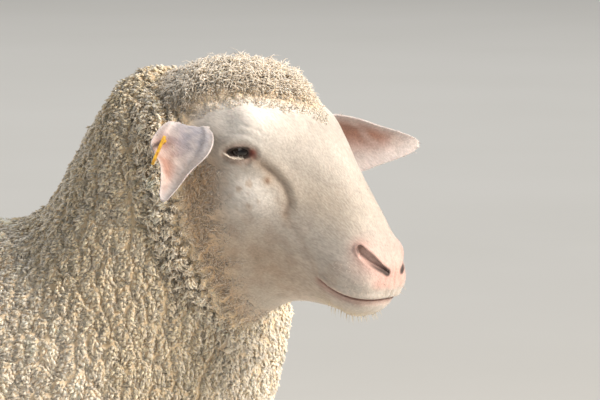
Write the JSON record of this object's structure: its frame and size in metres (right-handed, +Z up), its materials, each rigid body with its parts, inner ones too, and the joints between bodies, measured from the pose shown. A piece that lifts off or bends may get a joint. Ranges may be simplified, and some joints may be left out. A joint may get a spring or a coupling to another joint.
{
  "type": "sheep",
  "caption": "Life-size standing white-faced polled ewe in full fleece, head turned to its right, drooping ears, plastic ear tag, cloven hooves; still model.",
  "frame": {"origin": "on the floor, under the middle of the model's bounding box", "axes": "+X the way the trunk faces, +Y the animal's left, +Z up; the head is turned 27 degrees from +X towards -Y"},
  "size_m": [1.0665, 0.4274, 0.9245],
  "materials": {
    "fleece": "dense cream wool, dusty at the tips",
    "face_hair": "short off-white hair over pink skin",
    "leg_hair": "short cream hair",
    "ear_skin": "pale hair outside, pink skin in the hollow",
    "eye": "wet dark amber eye",
    "hoof_horn": "worn grey-brown horn",
    "tag_plastic": "weathered yellow plastic"
  },
  "bodies": {
    "root": {"head": "face_hair", "neck": "fleece", "trunk": "fleece", "tail": "fleece", "leg_front_left": "leg_hair", "leg_front_right": "leg_hair", "leg_hind_left": "leg_hair", "leg_hind_right": "leg_hair", "ear_left": "ear_skin", "ear_right": "ear_skin", "eye_left": "eye", "eye_right": "eye", "tag_plate": "tag_plastic", "tag_button": "tag_plastic", "tag_stud": "tag_plastic", "hoof_front_left_outer": "hoof_horn", "hoof_front_left_inner": "hoof_horn", "hoof_front_right_outer": "hoof_horn", "hoof_front_right_inner": "hoof_horn", "hoof_hind_left_outer": "hoof_horn", "hoof_hind_left_inner": "hoof_horn", "hoof_hind_right_outer": "hoof_horn", "hoof_hind_right_inner": "hoof_horn"}
  },
  "joints": []
}
